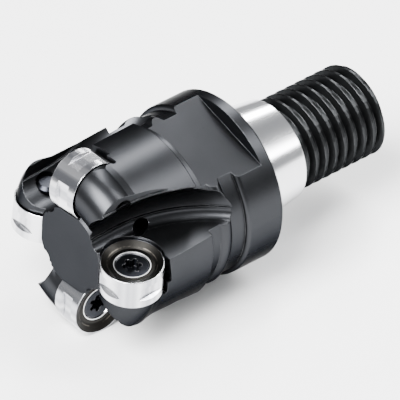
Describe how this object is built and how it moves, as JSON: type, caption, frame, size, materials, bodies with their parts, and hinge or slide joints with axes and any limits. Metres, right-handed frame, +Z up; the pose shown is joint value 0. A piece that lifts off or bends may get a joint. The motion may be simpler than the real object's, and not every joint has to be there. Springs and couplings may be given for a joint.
{
  "type": "face mill",
  "caption": "Screw-in face mill: round cutting inserts held by countersunk screws on a gulleted head, with wrench flats, a locating taper and a threaded shank.",
  "frame": {"origin": "centre of the flange's rear shoulder, on the tool axis", "axes": "+Y along the tool axis towards the threaded shank, so the teeth are at -Y; +Z up with the tool lying on its side; +X completes the frame"},
  "size_m": [0.0318, 0.0607, 0.0314],
  "materials": {
    "body_steel": "dark satin oxide",
    "carbide": "ground",
    "screw_steel": "black oxide"
  },
  "bodies": {
    "cutter_body": {"cutter_body": "body_steel"},
    "insert_1": {"insert_1": "carbide"},
    "insert_screw_1": {"insert_screw_1": "screw_steel"},
    "insert_2": {"insert_2": "carbide"},
    "insert_screw_2": {"insert_screw_2": "screw_steel"},
    "insert_3": {"insert_3": "carbide"},
    "insert_screw_3": {"insert_screw_3": "screw_steel"},
    "insert_4": {"insert_4": "carbide"},
    "insert_screw_4": {"insert_screw_4": "screw_steel"}
  },
  "joints": [
    {"name": "insert_1_lift", "type": "slide", "parent": "cutter_body", "child": "insert_1", "axis": [0.1217, -0.0506, 0.9913], "range_m": [0, 0.0014]},
    {"name": "insert_screw_1_turn", "type": "hinge", "parent": "insert_1", "child": "insert_screw_1", "pos_m": [0.0109, -0.02813, 0.00226], "axis": [0.1217, -0.0506, 0.9913], "range_deg": [0, 720]},
    {"name": "insert_2_lift", "type": "slide", "parent": "cutter_body", "child": "insert_2", "axis": [-0.9986, -0.0506, 0.0174], "range_m": [0, 0.0014]},
    {"name": "insert_screw_2_turn", "type": "hinge", "parent": "insert_2", "child": "insert_screw_2", "pos_m": [-0.00339, -0.02813, 0.0106], "axis": [-0.9986, -0.0506, 0.0174], "range_deg": [0, 720]},
    {"name": "insert_3_lift", "type": "slide", "parent": "cutter_body", "child": "insert_3", "axis": [-0.0957, -0.0506, -0.9941], "range_m": [0, 0.0014]},
    {"name": "insert_screw_3_turn", "type": "hinge", "parent": "insert_3", "child": "insert_screw_3", "pos_m": [-0.01084, -0.02813, -0.00254], "axis": [-0.0957, -0.0506, -0.9941], "range_deg": [0, 720]},
    {"name": "insert_4_lift", "type": "slide", "parent": "cutter_body", "child": "insert_4", "axis": [0.9981, -0.0506, -0.0349], "range_m": [0, 0.0014]},
    {"name": "insert_screw_4_turn", "type": "hinge", "parent": "insert_4", "child": "insert_screw_4", "pos_m": [0.0032, -0.02813, -0.01066], "axis": [0.9981, -0.0506, -0.0349], "range_deg": [0, 720]}
  ],
  "couplings": [
    {"joint": "insert_screw_1_turn", "follows": "insert_1_lift", "rad_per_m": 8976},
    {"joint": "insert_screw_2_turn", "follows": "insert_2_lift", "rad_per_m": 8976},
    {"joint": "insert_screw_3_turn", "follows": "insert_3_lift", "rad_per_m": 8976},
    {"joint": "insert_screw_4_turn", "follows": "insert_4_lift", "rad_per_m": 8976}
  ]
}
